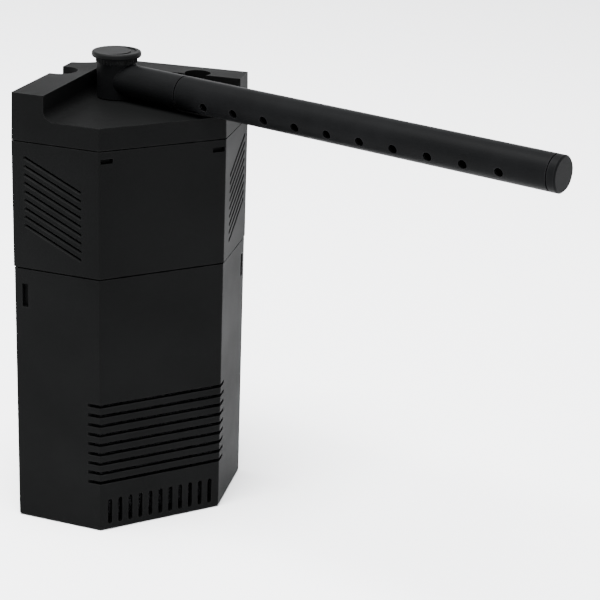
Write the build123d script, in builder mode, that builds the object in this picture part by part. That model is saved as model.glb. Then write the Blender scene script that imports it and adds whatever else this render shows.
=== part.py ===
"""Internal corner filter for an aquarium, in millimetres, +Z up.

The origin is on the base plane, under the axis of the swivelling outlet.
The front face looks along -Y and the two back faces meet the walls of a tank corner at +Y.
The body is three stacked shells: canister, head casing and lid.
"""
import os
from math import atan2, cos, degrees, radians, sin, sqrt

from build123d import *

os.makedirs("parts", exist_ok=True)

# ---- Driving dimensions: plan of the body -------------------------------------------------------
front_width = 68.0          # front face, corner to corner
side_length = 48.0          # each side face, front corner to back edge
side_angle = 49.5           # how far each side face turns back from the front face
axis_to_front = 57.8        # swivel axis to the front face
back_flat = 24.0            # chord across the cut-off back corner
back_relief = 4.3           # depth of the hollow in that corner
corner_round = 1.2          # radius of the upright edges
wall = 2.2                  # walls of the three shells
head_overhang = 0.3         # head and lid stand out past the canister

# ---- Driving dimensions: heights ----------------------------------------------------------------
canister_height = 138.0     # base to the canister joint
head_height = 65.0          # canister joint to the lid joint
deck_rise = 11.0            # lid joint to the deck
wing_rise = 12.5            # deck to the tops of the wings
floor = 2.2                 # floors of canister and head
deck = 2.0                  # deck and wing tops
base_round = 1.4            # radius round the base
seam_height = 0.9           # dark line at the canister joint
lid_seam_height = 0.6       # dark line at the lid joint
seam_depth = 1.0

# ---- Clearances ---------------------------------------------------------------------------------
shell_fit = 0.3             # spigots of head and lid inside the shell below
loose_fit = 0.4             # trays that lift out by hand
soft_gap = 0.8              # foam to the nearest plastic
running_fit = 0.05          # radial, turning parts and push-in pipes
pin_fit = 0.2               # radial, locating pins and screws
socket_fit = 0.4            # steps inside push-in sockets, radial
seal_fit = 0.02             # O-rings in their grooves

# ---- Driving dimensions: openings in the canister -----------------------------------------------
slot_count = 9
slot_pitch = 5.3
slot_height = 1.9
slot_first = 27.4           # height of the lowest level slot
slot_wrap = 7.6             # how far the level slots run on to each side face
comb_count = 11
comb_pitch = 5.7
comb_width = 2.4
comb_height = 14.3
comb_bottom = 3.3
rib_width = 2.0             # upright ribs behind the bars between the slots; they carry the basket
rib_depth = 2.5
rib_spacing = 7 * comb_pitch
rib_root = 0.3              # how far the ribs reach into the wall
back_rib_near = 20.0        # ribs of the back faces, from the side edge
back_rib_far = 46.0
latch_width = 3.3           # latch windows beside the back edges
latch_height = 12.3
latch_from_edge = 6.45
latch_below_joint = 14.85   # joint to the middle of the window
cup_hole_radius = 3.0       # holes for suction cup stems in the back faces
cup_hole_low = 22.0
cup_hole_high = 100.0
cup_hole_from_edge = 30.0

# ---- Driving dimensions: media ------------------------------------------------------------------
media_stack = 61.0          # basket floor up to the canister joint
basket_height = 35.0
basket_wall = 1.5
basket_ledge = 1.2          # step that carries the divider grid
divider_rise = 22.0         # basket floor to the divider
divider_thickness = 1.5
grid_slot = 3.0
grid_pitch = 6.0
grid_bars = (-20.0, 5.0)    # bars across the slots of basket and divider, places along Y
ring_radius = 5.4
ring_bore = 3.0
ring_length = 16.0
ring_pitch = 11.6
fine_sponge_height = 26.0

# ---- Driving dimensions: head casing ------------------------------------------------------------
spigot_depth = 8.0
spigot_wall = 1.8
tongue_width = 5.4
tongue_length = 23.0        # latch tongue below the joint
slit_count = 9
slit_pitch = 4.32
slit_width = 0.8
slit_mouth = 2.1            # at the outer face, with bevelled sides
slit_from_edge = 6.7        # outer end of each slit to the back edge
slit_run = 31.6             # level run of each slit
slit_drop = 14.5
slit_below_joint = 7.9      # lid joint to the outer end of the first slit
snap_width = 6.5            # snap windows at the top corners of the front face
snap_height = 2.5
snap_from_corner = 3.95
snap_below_joint = 5.45

# ---- Driving dimensions: pump -------------------------------------------------------------------
pump_x = -5.0
pump_gap = 1.6              # motor can to the riser pipe
foot_height = 2.3
foot_radius = 3.0
pin_radius = 1.4
pin_height = 3.8
cover_thickness = 2.4
impeller_radius = 10.5
blade_count = 6
impeller_gap = 3.0          # blade tips to the chamber wall
chamber_height = 9.5
chamber_rise = 1.5          # feet to the floor of the chamber
volute_roof = 2.5           # roof of the chamber
volute_wall = 2.5
eye_radius = 6.4
eye_tube_wall = 1.2
eye_clearance = 0.6         # end of the inlet tube above the canister joint
spider_width = 1.6
bush_radius = 2.6
bush_length = 3.0
bush_wall = 1.0             # plastic round the lower bush
bush_seat = 0.6             # plastic under the lower bush
duct_bore = 4.4
duct_wall = 1.8
socket_wall = 2.0
socket_rise = 4.0           # socket above the chamber
socket_step = 1.0           # riser foot above the duct
can_wall = 1.8
can_height = 43.0
magnet_radius = 7.2
magnet_length = 22.0
magnet_gap = 0.8            # magnet to the rotor well
well_wall = 1.0
well_height = 30.0
flange_thickness = 2.5
screw_radius = 1.4
screw_head_height = 1.8
screw_tip_gap = 0.5         # end of the screw to the end of its hole
cross_length = 2.6          # cross recess of the screws
cross_width = 0.7
ear_radius = 3.4
ear_height = 3.0
lug_height = 6.0
shaft_radius = 1.25
shaft_seat = 1.0            # rubber under the shaft
shaft_end_gap = 0.6         # shaft to the top of the rotor well
upper_bush_length = 2.5
thrust_gap = 0.5            # play of the rotor along the shaft
hub_radius = 3.2
blade_thickness = 1.2
blade_turn = 24.0           # degrees off radial
disc_thickness = 1.4
disc_gap = 2.0              # disc to the roof of the chamber, without the play
carrier_radius = 4.0        # neck between impeller and magnet
core_width = 13.0
core_leg = 5.4
core_gap = 0.2              # rotor well to the legs of the core
core_to_can = 1.2
core_lift = 2.0             # foot of the core above the floor of the can
yoke_height = 5.0
coil_depth = 2.4
coil_fill = 0.9             # winding height as a share of the bobbin flanges
coil_round = 1.2
coil_lift = 0.6             # rotor well to the coil
bobbin_wall = 0.8
bobbin_gap = 0.3            # bobbin to the legs of the core
resin_gap = 0.4             # resin to the top of the can
gland_radius = 4.0
gland_lip = 1.0
gland_lip_height = 1.5
gland_nose = 4.0
gland_taper = 6.0           # degrees
gland_side = 9.0            # gland to the motor axis, to the left
gland_back = 7.0            # and to the back
cable_bore = 2.6

# ---- Driving dimensions: outlet -----------------------------------------------------------------
arm_radius = 8.6
bar_wall = 1.45
arm_gap = 0.9               # bar to the deck
neck_step = 1.4             # neck to arm, in radius
journal_step = 1.5          # neck to the journal in the deck
journal_wall = 1.4
riser_step = 0.45           # journal to the socket of the riser
riser_wall = 1.75
riser_land = 2.05           # shoulder at the bottom of that socket
riser_below_deck = 4.0
riser_overlap = 7.7         # spigot of the elbow inside the riser
riser_relief = 0.8          # socket past the end of that spigot
neck_lift = 0.3             # neck above the rounds at the foot of the wings
arm_azimuth = 24.5          # bar to the right of straight ahead
stub_length = 44.8          # swivel axis to the seam of the bar
bar_end = 258.0             # swivel axis to the end of the cap
cap_thickness = 4.7
cap_groove = 0.7
cap_bevel = 0.8
cap_plug = 8.0
cap_plug_wall = 1.6
bar_seam = 0.8              # gap between stub and bar
bar_spigot_length = 12.0
bar_seal_step = 6.0         # seam to the seal
clip_groove_depth = 1.2
clip_thickness = 1.0
clip_play = 0.2
clip_reach = 1.6            # clip outside the journal
seal_section = 0.55         # O-rings of the riser
small_seal_section = 0.5    # O-rings of bar and knob
barrel_lift = 0.5           # valve floor above the underside of the deck
barrel_roof = 2.6
barrel_play = 0.1
post = 5.0                  # square post of the knob
jet_count = 10
jet_pitch = 18.5
jet_first = 63.8            # swivel axis to the first hole
jet_radius = 2.3
jet_below_level = 20.0      # degrees below level, on the left of the bar
knob_step = 2.6             # knob flange to the neck
knob_flange = 3.0
skirt_step = 0.6
skirt_height = 2.5
knob_rib_count = 36
knob_rib_radius = 0.45
knob_gap = 0.3              # skirt to the neck
knob_round = 1.0
mark_depth = 0.5            # engraved crescent
mark_shift = 2.4
mark_azimuth = 50.0         # degrees to the right of straight ahead

# ---- Driving dimensions: lid --------------------------------------------------------------------
recess_apex = 18.6          # swivel axis to the point where the inner walls of the wings meet
recess_round = 8.0          # upright round at that point
recess_foot = 5.0           # hollow round where the deck meets the wings
lid_draft = 1.4             # degrees
notch_width = 17.0          # cable notch through the back of the left wing
notch_depth = 11.9
notch_from_edge = 54.7
cable_hole = 4.0
lid_spigot_wall = 1.6
lid_spigot_depth = 3.6
hook_depth = 7.6
wing_inset = 0.6            # wings drawn in further than the walls, for the draft
lid_band = 2.0              # thickened band at the lid joint
pocket_radius = 6.7         # round pocket in the inner wall of the right wing
pocket_behind = 3.65        # its centre behind that wall
pocket_from_apex = 51.0     # its centre from the apex, along the wall

# ---- Worked-out places --------------------------------------------------------------------------
front_y = -axis_to_front
corner_x = front_width / 2
edge_x = corner_x + side_length * cos(radians(side_angle))
edge_y = front_y + side_length * sin(radians(side_angle))
apex_y = edge_y + edge_x
flat_y = apex_y - back_flat / 2
head_floor = canister_height + floor
lid_joint = canister_height + head_height
deck_z = lid_joint + deck_rise
wing_top = deck_z + wing_rise
basket_floor_z = canister_height - media_stack
arm_z = deck_z + arm_gap + arm_radius
neck_radius = arm_radius + neck_step
journal_radius = neck_radius - journal_step
barrel_radius = journal_radius - journal_wall - running_fit
riser_socket = journal_radius - riser_step
riser_radius = riser_socket + riser_wall
riser_bore = riser_socket - riser_land
water_bore = riser_bore - socket_fit
well_radius = magnet_radius + magnet_gap
well_outside = well_radius + well_wall
leg_inner = well_outside + core_gap
leg_outer = leg_inner + core_leg
can_inside = sqrt(leg_outer**2 + (core_width / 2) ** 2) + core_to_can
can_radius = can_inside + can_wall
chamber_radius = impeller_radius + impeller_gap
volute_radius = chamber_radius + volute_wall
pump_y = -sqrt((can_radius + riser_radius + pump_gap) ** 2 - pump_x**2)


def body_outline(inset=0.0, rounding=0.0):
    """Plan of the body with its walls drawn in by inset."""
    with BuildSketch() as plan:
        with BuildLine():
            Polyline(
                (-back_flat / 2, flat_y),
                (-edge_x, edge_y),
                (-corner_x, front_y),
                (corner_x, front_y),
                (edge_x, edge_y),
                (back_flat / 2, flat_y),
            )
            ThreePointArc((back_flat / 2, flat_y), (0, flat_y - back_relief), (-back_flat / 2, flat_y))
        make_face()
        if inset > 0:
            offset(amount=-inset, kind=Kind.INTERSECTION)
        if rounding > 0:
            fillet(plan.vertices(), rounding)
    return plan.sketch


def side_plane(hand):
    """Plane of a side face, hand 1 right or -1 left, its origin at the back edge, local Y up."""
    turn = radians(side_angle)
    return Plane(
        origin=(hand * edge_x, edge_y, 0),
        x_dir=(cos(turn), hand * sin(turn), 0),
        z_dir=(hand * sin(turn), -cos(turn), 0),
    )


def back_plane(hand):
    """Plane of a back face, hand 1 right or -1 left, its origin at the side edge, local Y up."""
    return Plane(
        origin=(hand * edge_x, edge_y, 0),
        x_dir=(-1, hand, 0),
        z_dir=(hand, 1, 0),
    )


def grid_slots(inset):
    """Parallel slots that stop short of the walls of a tray."""
    with BuildSketch() as slots:
        with Locations((0, (front_y + flat_y) / 2)):
            with GridLocations(grid_pitch, 1, int(2 * edge_x / grid_pitch), 1):
                Rectangle(grid_slot, 2 * axis_to_front)
        for level in grid_bars:
            with Locations((0, level)):
                Rectangle(2 * edge_x, grid_slot, mode=Mode.SUBTRACT)
        add(body_outline(inset), mode=Mode.INTERSECT)
    return slots.sketch


def recess_plan(grow=0.0):
    """Wedge between the wings, open to the front; grow moves its walls into the wings."""
    tip = recess_apex + grow * sqrt(2)
    reach = tip + axis_to_front + 10
    with BuildSketch() as wedge:
        with BuildLine():
            Polyline((0, tip), (-reach, tip - reach), (reach, tip - reach), close=True)
        make_face()
        rounding = recess_round - grow
        fillet(wedge.vertices().sort_by(Axis.Y)[-1], rounding)
    return wedge.sketch


def notch_centre(depth=notch_depth - notch_width / 2):
    """Middle line of the cable notch, this depth in from the back face of the left wing."""
    along = (notch_from_edge + depth) / sqrt(2)
    across = (notch_from_edge - depth) / sqrt(2)
    return (along - edge_x, across + edge_y)


def notch_plan(grow=0.0):
    """U-shaped notch from the back of the left wing, its inner end round."""
    with BuildSketch() as notch:
        with Locations(notch_centre()):
            Circle(notch_width / 2 + grow)
        with Locations(notch_centre(0)):
            Rectangle(2 * notch_depth - notch_width, notch_width + 2 * grow, rotation=-45)
    return notch.sketch


def pocket_plan(grow=0.0):
    """Round pocket in the right wing, open towards the recess."""
    step = pocket_from_apex / sqrt(2)
    back = pocket_behind / sqrt(2)
    with BuildSketch() as pocket:
        with Locations((step + back, recess_apex - step + back)):
            Circle(pocket_radius + grow)
    return pocket.sketch


shell_plan = body_outline(rounding=corner_round)
canister_plan = body_outline(head_overhang, corner_round)
canister_inside = head_overhang + wall
cavity_plan = body_outline(canister_inside)
head_cavity_plan = body_outline(wall)

# ---- Canister: lower shell with the water inlets ------------------------------------------------
slot_levels = [slot_first + i * slot_pitch for i in range(slot_count)]
wrap_y = slot_wrap * sin(radians(side_angle))
seam_plan = body_outline(head_overhang + seam_depth, corner_round)
rib_run = rib_depth + rib_root
rib_y = front_y + canister_inside + rib_depth - rib_run / 2

with BuildPart() as canister:
    with BuildSketch():
        add(canister_plan)
    extrude(amount=canister_height)
    fillet(canister.faces().sort_by(Axis.Z)[0].edges(), base_round)
    with BuildSketch(Plane.XY.offset(floor)):
        add(cavity_plan)
    extrude(amount=canister_height, mode=Mode.SUBTRACT)
    with BuildSketch(Plane.XY.offset(canister_height - seam_height)):
        Rectangle(4 * edge_x, 4 * edge_x)
        add(seam_plan, mode=Mode.SUBTRACT)
    extrude(amount=2 * seam_height, mode=Mode.SUBTRACT)
    with Locations(*[(0, front_y + wrap_y / 2, level) for level in slot_levels]):
        Box(2 * edge_x, wrap_y, slot_height, mode=Mode.SUBTRACT)
    with BuildSketch(Plane.XZ.offset(axis_to_front)):
        with Locations((0, comb_bottom + comb_height / 2)):
            with GridLocations(comb_pitch, 1, comb_count, 1):
                SlotOverall(comb_height, comb_width, rotation=90)
    extrude(amount=-2 * wall, mode=Mode.SUBTRACT)
    for hand in (-1, 1):
        with BuildSketch(side_plane(hand)):
            with Locations((-hand * latch_from_edge, canister_height - latch_below_joint)):
                Rectangle(latch_width, latch_height)
        extrude(amount=-2 * wall, mode=Mode.SUBTRACT)
        with BuildSketch(back_plane(hand)):
            with Locations(
                (hand * cup_hole_from_edge, cup_hole_low), (hand * cup_hole_from_edge, cup_hole_high)
            ):
                Circle(cup_hole_radius)
        extrude(amount=-2 * wall, mode=Mode.SUBTRACT)
    # The ribs start inside the wall, so that they tie the bars between the slots together.
    for side in (-1, 1):
        with BuildSketch(Plane.XY.offset(floor)):
            with Locations((side * rib_spacing / 2, rib_y)):
                Rectangle(rib_width, rib_run)
        extrude(amount=basket_floor_z - floor)
    for hand in (-1, 1):
        rib_plane = back_plane(hand).offset(rib_run / 2 - rib_depth - canister_inside)
        with BuildSketch(Plane(rib_plane.origin, x_dir=rib_plane.x_dir, z_dir=(0, 0, 1)).offset(floor)):
            with Locations((hand * back_rib_near, 0), (hand * back_rib_far, 0)):
                Rectangle(rib_width, rib_run)
        extrude(amount=basket_floor_z - floor)
canister.part.label = "canister"
export_step(canister.part, "parts/canister.step")

# ---- Coarse sponge: the block behind the inlets -------------------------------------------------
sponge_inset = canister_inside + rib_depth + soft_gap

with BuildPart() as coarse_sponge:
    with BuildSketch(Plane.XY.offset(floor + soft_gap)):
        add(body_outline(sponge_inset))
    extrude(amount=basket_floor_z - floor - 2 * soft_gap)
coarse_sponge.part.label = "coarse_sponge"
export_step(coarse_sponge.part, "parts/coarse_sponge.step")

# ---- Media basket: lift-out tray with a slotted floor -------------------------------------------
basket_inset = canister_inside + loose_fit
basket_inside = basket_inset + basket_wall
divider_z = basket_floor_z + divider_rise

with BuildPart() as media_basket:
    with BuildSketch(Plane.XY.offset(basket_floor_z)):
        add(body_outline(basket_inset))
    extrude(amount=basket_height)
    with BuildSketch(Plane.XY.offset(basket_floor_z + basket_wall)):
        add(body_outline(basket_inside + basket_ledge))
    extrude(amount=divider_rise - basket_wall, mode=Mode.SUBTRACT)
    with BuildSketch(Plane.XY.offset(divider_z)):
        add(body_outline(basket_inside))
    extrude(amount=basket_height, mode=Mode.SUBTRACT)
    with BuildSketch(Plane.XY.offset(basket_floor_z)):
        add(grid_slots(basket_inside + basket_ledge + grid_slot))
    extrude(amount=basket_wall, mode=Mode.SUBTRACT)
media_basket.part.label = "media_basket"
export_step(media_basket.part, "parts/media_basket.step")

# ---- Ceramic rings: one layer standing on the basket floor --------------------------------------
ring_room = ring_radius + soft_gap
ring_area = body_outline(basket_inside + basket_ledge + ring_room).face()
ring_rows = int(2 * edge_x / ring_pitch) + 1
ring_spots = [
    (column * ring_pitch, row * ring_pitch)
    for column in range(-ring_rows, ring_rows + 1)
    for row in range(-ring_rows, ring_rows + 1)
    if ring_area.is_inside(Vector(column * ring_pitch, row * ring_pitch, 0))
]

with BuildPart() as media_rings:
    with BuildSketch(Plane.XY.offset(basket_floor_z + basket_wall)):
        with Locations(*ring_spots):
            Circle(ring_radius)
            Circle(ring_bore, mode=Mode.SUBTRACT)
    extrude(amount=ring_length)
media_rings.part.label = "media_rings"
export_step(media_rings.part, "parts/media_rings.step")

# ---- Divider grid: lies on the ledge inside the basket ------------------------------------------
with BuildPart() as divider_grid:
    with BuildSketch(Plane.XY.offset(divider_z)):
        add(body_outline(basket_inside + loose_fit))
        add(grid_slots(basket_inside + basket_ledge + grid_slot), mode=Mode.SUBTRACT)
    extrude(amount=divider_thickness)
divider_grid.part.label = "divider_grid"
export_step(divider_grid.part, "parts/divider_grid.step")

# ---- Fine sponge: last stage, under the head ----------------------------------------------------
with BuildPart() as fine_sponge:
    with BuildSketch(Plane.XY.offset(divider_z + divider_thickness + soft_gap)):
        add(body_outline(sponge_inset))
    extrude(amount=fine_sponge_height)
fine_sponge.part.label = "fine_sponge"
export_step(fine_sponge.part, "parts/fine_sponge.step")

# ---- Head casing: shell that holds the pump and plugs into the canister -------------------------
foot_ring = volute_radius + foot_radius + pin_fit
foot_spots = [(0.0, 0.0)] + [
    (pump_x + foot_ring * cos(radians(a)), pump_y + foot_ring * sin(radians(a))) for a in (-30, -150)
]
eye_tube_radius = eye_radius + eye_tube_wall
spigot_inset = canister_inside + shell_fit
slit_rise = [lid_joint - slit_below_joint - i * slit_pitch - slit_drop / 2 for i in range(slit_count)]
slit_length = sqrt(slit_run**2 + slit_drop**2)
slit_turn = degrees(atan2(slit_drop, slit_run))
slit_bevel = (slit_mouth - slit_width) / 2
lid_seam_plan = body_outline(seam_depth, corner_round)

with BuildPart() as head_casing:
    with BuildSketch(Plane.XY.offset(canister_height)):
        add(shell_plan)
    extrude(amount=head_height)
    with BuildSketch(Plane.XY.offset(head_floor)):
        add(head_cavity_plan)
    extrude(amount=head_height, mode=Mode.SUBTRACT)
    with BuildSketch(Plane.XY.offset(lid_joint - lid_seam_height)):
        Rectangle(4 * edge_x, 4 * edge_x)
        add(lid_seam_plan, mode=Mode.SUBTRACT)
    extrude(amount=2 * lid_seam_height, mode=Mode.SUBTRACT)
    with BuildSketch(Plane.XY.offset(canister_height - spigot_depth)):
        add(body_outline(spigot_inset))
        add(body_outline(spigot_inset + spigot_wall), mode=Mode.SUBTRACT)
    extrude(amount=spigot_depth)
    for hand in (-1, 1):
        with BuildSketch(side_plane(hand).offset(-spigot_inset)):
            with Locations((-hand * latch_from_edge, canister_height - tongue_length / 2)):
                Rectangle(tongue_width, tongue_length)
        extrude(amount=-spigot_wall)
        slit_spots = [(-hand * (slit_from_edge + slit_run / 2), z) for z in slit_rise]
        with BuildSketch(side_plane(hand)):
            with Locations(*slit_spots):
                SlotOverall(slit_length - 2 * slit_bevel, slit_width, rotation=hand * slit_turn)
        extrude(amount=-2 * wall, mode=Mode.SUBTRACT)
        with BuildSketch(side_plane(hand).offset(-slit_bevel)):
            with Locations(*slit_spots):
                SlotOverall(slit_length - 2 * slit_bevel, slit_width, rotation=hand * slit_turn)
        extrude(amount=slit_bevel, taper=-45, mode=Mode.SUBTRACT)
    with BuildSketch(Plane.XZ.offset(axis_to_front)):
        with Locations(
            (snap_from_corner - corner_x, lid_joint - snap_below_joint),
            (corner_x - snap_from_corner, lid_joint - snap_below_joint),
        ):
            Rectangle(snap_width, snap_height)
    extrude(amount=-2 * wall, mode=Mode.SUBTRACT)
    with BuildSketch(Plane.XY.offset(canister_height)):
        with Locations((pump_x, pump_y)):
            Circle(eye_tube_radius + loose_fit)
    extrude(amount=floor, mode=Mode.SUBTRACT)
    with BuildSketch(Plane.XY.offset(head_floor)):
        with Locations(*foot_spots):
            Circle(pin_radius)
    extrude(amount=pin_height)
head_casing.part.label = "head_casing"
export_step(head_casing.part, "parts/head_casing.step")

# ---- Pump feet: rubber washers on the locating pins ---------------------------------------------
foot_top = head_floor + foot_height

with BuildPart() as pump_feet:
    with BuildSketch(Plane.XY.offset(head_floor)):
        with Locations(*foot_spots):
            Circle(foot_radius)
            Circle(pin_radius + running_fit, mode=Mode.SUBTRACT)
    extrude(amount=foot_height)
pump_feet.part.label = "pump_feet"
export_step(pump_feet.part, "parts/pump_feet.step")

# ---- Volute: pump chamber, outlet duct and socket for the riser ---------------------------------
chamber_floor = foot_top + chamber_rise
chamber_top = chamber_floor + chamber_height
volute_top = chamber_top + volute_roof
duct_x = pump_x + chamber_radius - duct_bore
duct_z = (chamber_floor + chamber_top) / 2
socket_bore = riser_socket - socket_fit
socket_radius = socket_bore + socket_wall
socket_top = volute_top + socket_rise
riser_foot_z = duct_z + duct_bore + socket_step
screw_angles = (-90, 15, 150)
screw_spots = [
    (pump_x + can_radius * cos(radians(a)), pump_y + can_radius * sin(radians(a))) for a in screw_angles
]

with BuildPart() as volute:
    with BuildSketch(Plane.XY.offset(chamber_floor)):
        with Locations((pump_x, pump_y)):
            Circle(volute_radius)
    extrude(amount=volute_top - chamber_floor)
    with BuildSketch(Plane.XY.offset(foot_top)):
        Circle(socket_radius)
    extrude(amount=socket_top - foot_top)
    with BuildSketch(Plane.XZ.offset(-pump_y)):
        with Locations((duct_x, duct_z)):
            Circle(duct_bore + duct_wall)
    extrude(amount=pump_y)
    with BuildSketch(Plane.XY.offset(volute_top - ear_height)):
        with Locations(*screw_spots):
            Circle(ear_radius)
        for angle in screw_angles:
            with Locations((pump_x, pump_y)):
                with PolarLocations((can_radius + chamber_radius) / 2, 1, start_angle=angle):
                    Rectangle(can_radius - chamber_radius, 2 * ear_radius)
    extrude(amount=ear_height)
    with BuildSketch(Plane.XY.offset(foot_top)):
        with Locations(*foot_spots[1:]):
            Circle(foot_radius)
        for angle in (-30, -150):
            with Locations((pump_x, pump_y)):
                with PolarLocations((foot_ring + volute_radius) / 2, 1, start_angle=angle):
                    Rectangle(foot_ring - volute_radius + volute_wall, 2 * foot_radius)
    extrude(amount=ear_height)
    with BuildSketch(Plane.XY.offset(foot_top)):
        with Locations((pump_x, pump_y)):
            Circle(volute_radius + pin_fit)
    extrude(amount=chamber_floor - foot_top, mode=Mode.SUBTRACT)
    with BuildSketch(Plane.XY.offset(chamber_floor)):
        with Locations((pump_x, pump_y)):
            Circle(chamber_radius)
    extrude(amount=chamber_height, mode=Mode.SUBTRACT)
    with BuildSketch(Plane.XY.offset(chamber_top)):
        with Locations((pump_x, pump_y)):
            Circle(well_radius)
    extrude(amount=volute_top - chamber_top, mode=Mode.SUBTRACT)
    with BuildSketch(Plane.XZ.offset(-pump_y)):
        with Locations((duct_x, duct_z)):
            Circle(duct_bore)
    extrude(amount=pump_y, mode=Mode.SUBTRACT)
    with BuildSketch(Plane.XY.offset(duct_z - duct_bore)):
        Circle(riser_bore)
    extrude(amount=socket_top, mode=Mode.SUBTRACT)
    with BuildSketch(Plane.XY.offset(riser_foot_z)):
        Circle(socket_bore)
    extrude(amount=socket_top, mode=Mode.SUBTRACT)
    with BuildSketch(Plane.XY.offset(foot_top)):
        with Locations(*foot_spots):
            Circle(pin_radius + pin_fit)
    extrude(amount=pin_height - foot_height + pin_fit, mode=Mode.SUBTRACT)
    with BuildSketch(Plane.XY.offset(volute_top - ear_height)):
        with Locations(*screw_spots):
            Circle(screw_radius + pin_fit)
    extrude(amount=ear_height, mode=Mode.SUBTRACT)
volute.part.label = "volute"
export_step(volute.part, "parts/volute.step")

# ---- Volute cover: inlet plate with a spider that holds the lower bush --------------------------
cover_z = chamber_floor - cover_thickness
bush_floor = cover_z + bush_seat
cover_seal_ring = (chamber_radius + volute_radius) / 2
cover_seal_section = 0.6

with BuildPart() as volute_cover:
    with BuildSketch(Plane.XY.offset(cover_z)):
        with Locations((pump_x, pump_y)):
            Circle(volute_radius)
            Circle(eye_radius, mode=Mode.SUBTRACT)
    extrude(amount=cover_thickness)
    with BuildSketch(Plane.XY.offset(cover_z)):
        with Locations((pump_x, pump_y)):
            Circle(bush_radius + bush_wall)
            with PolarLocations((bush_radius + eye_tube_radius) / 2, 3, start_angle=30):
                Rectangle(eye_tube_radius - bush_radius, spider_width)
    extrude(amount=cover_thickness)
    with BuildSketch(Plane.XY.offset(canister_height + eye_clearance)):
        with Locations((pump_x, pump_y)):
            Circle(eye_tube_radius)
            Circle(eye_radius, mode=Mode.SUBTRACT)
    extrude(amount=cover_z - canister_height - eye_clearance)
    with BuildSketch(Plane.XY.offset(bush_floor)):
        with Locations((pump_x, pump_y)):
            Circle(bush_radius)
    extrude(amount=cover_thickness, mode=Mode.SUBTRACT)
    with BuildSketch(Plane.XY.offset(chamber_floor - 2 * cover_seal_section)):
        with Locations((pump_x, pump_y)):
            Circle(cover_seal_ring + cover_seal_section)
            Circle(cover_seal_ring - cover_seal_section, mode=Mode.SUBTRACT)
    extrude(amount=2 * cover_seal_section, mode=Mode.SUBTRACT)
volute_cover.part.label = "volute_cover"
export_step(volute_cover.part, "parts/volute_cover.step")


def seal_ring(name, centre, ring, section):
    """O-ring lying level round a point, written as its own piece."""
    with BuildPart() as seal:
        with Locations(centre):
            Torus(ring, section - seal_fit)
    seal.part.label = name
    export_step(seal.part, "parts/" + name + ".step")


seal_ring(
    "cover_seal",
    (pump_x, pump_y, chamber_floor - cover_seal_section),
    cover_seal_ring,
    cover_seal_section,
)

# ---- Motor housing: can, rotor well and screw lugs in one moulding ------------------------------
can_z = volute_top + flange_thickness
can_top = can_z + can_height
well_top = volute_top + well_height
gland_spot = (pump_x - gland_side, pump_y + gland_back)

with BuildPart() as motor_housing:
    with BuildSketch(Plane.XY.offset(volute_top)):
        with Locations((pump_x, pump_y)):
            Circle(can_radius)
    extrude(amount=can_top - volute_top)
    with BuildSketch(Plane.XY.offset(volute_top)):
        with Locations(*screw_spots):
            Circle(ear_radius)
    extrude(amount=lug_height)
    with BuildSketch(Plane.XY.offset(can_z)):
        with Locations((pump_x, pump_y)):
            Circle(can_inside)
    extrude(amount=can_height - can_wall, mode=Mode.SUBTRACT)
    with BuildSketch(Plane.XY.offset(volute_top)):
        with Locations((pump_x, pump_y)):
            Circle(well_outside)
    extrude(amount=well_height + well_wall)
    with BuildSketch(Plane.XY.offset(volute_top)):
        with Locations((pump_x, pump_y)):
            Circle(well_radius)
    extrude(amount=well_height, mode=Mode.SUBTRACT)
    with BuildSketch(Plane.XY.offset(can_top - can_wall)):
        with Locations(gland_spot):
            Circle(gland_radius + running_fit)
    extrude(amount=can_wall, mode=Mode.SUBTRACT)
    with BuildSketch(Plane.XY.offset(volute_top)):
        with Locations(*screw_spots):
            Circle(screw_radius)
    extrude(amount=lug_height, mode=Mode.SUBTRACT)
    top_rim = motor_housing.faces().sort_by(Axis.Z)[-1].outer_wire().edges()
    fillet(top_rim, can_wall / 2)
motor_housing.part.label = "motor_housing"
export_step(motor_housing.part, "parts/motor_housing.step")

# ---- Volute screws: three pan-head screws from below --------------------------------------------
screw_head_z = volute_top - ear_height
screw_bottom = screw_head_z - screw_head_height

with BuildPart() as volute_screws:
    with BuildSketch(Plane.XY.offset(screw_bottom)):
        with Locations(*screw_spots):
            Circle(2 * screw_radius)
    extrude(amount=screw_head_height)
    with BuildSketch(Plane.XY.offset(screw_head_z)):
        with Locations(*screw_spots):
            Circle(screw_radius)
    extrude(amount=ear_height + lug_height - screw_tip_gap)
    with BuildSketch(Plane.XY.offset(screw_bottom)):
        with Locations(*screw_spots):
            Rectangle(cross_length, cross_width)
            Rectangle(cross_width, cross_length)
    extrude(amount=screw_head_height / 2, mode=Mode.SUBTRACT)
volute_screws.part.label = "volute_screws"
export_step(volute_screws.part, "parts/volute_screws.step")

# ---- Stator core: laminated U over the rotor well -----------------------------------------------
coil_floor = well_top + well_wall + coil_lift
yoke_z = coil_floor + coil_depth + bobbin_wall
core_bottom = can_z + core_lift

with BuildPart() as stator_core:
    with BuildSketch(Plane.XZ.offset(-pump_y - core_width / 2)):
        with Locations((pump_x, (core_bottom + yoke_z + yoke_height) / 2)):
            Rectangle(2 * leg_outer, yoke_z + yoke_height - core_bottom)
        with Locations((pump_x, (core_bottom + yoke_z) / 2)):
            Rectangle(2 * leg_inner, yoke_z - core_bottom, mode=Mode.SUBTRACT)
    extrude(amount=core_width)
stator_core.part.label = "stator_core"
export_step(stator_core.part, "parts/stator_core.step")

# ---- Coil bobbin and winding round the yoke -----------------------------------------------------
bobbin_half = leg_inner - bobbin_gap
yoke_centre = (pump_x, pump_y, yoke_z + yoke_height / 2)
bobbin_y = core_width + 2 * bobbin_wall
bobbin_z = yoke_height + 2 * bobbin_wall
coil_build = coil_fill * coil_depth

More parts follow.
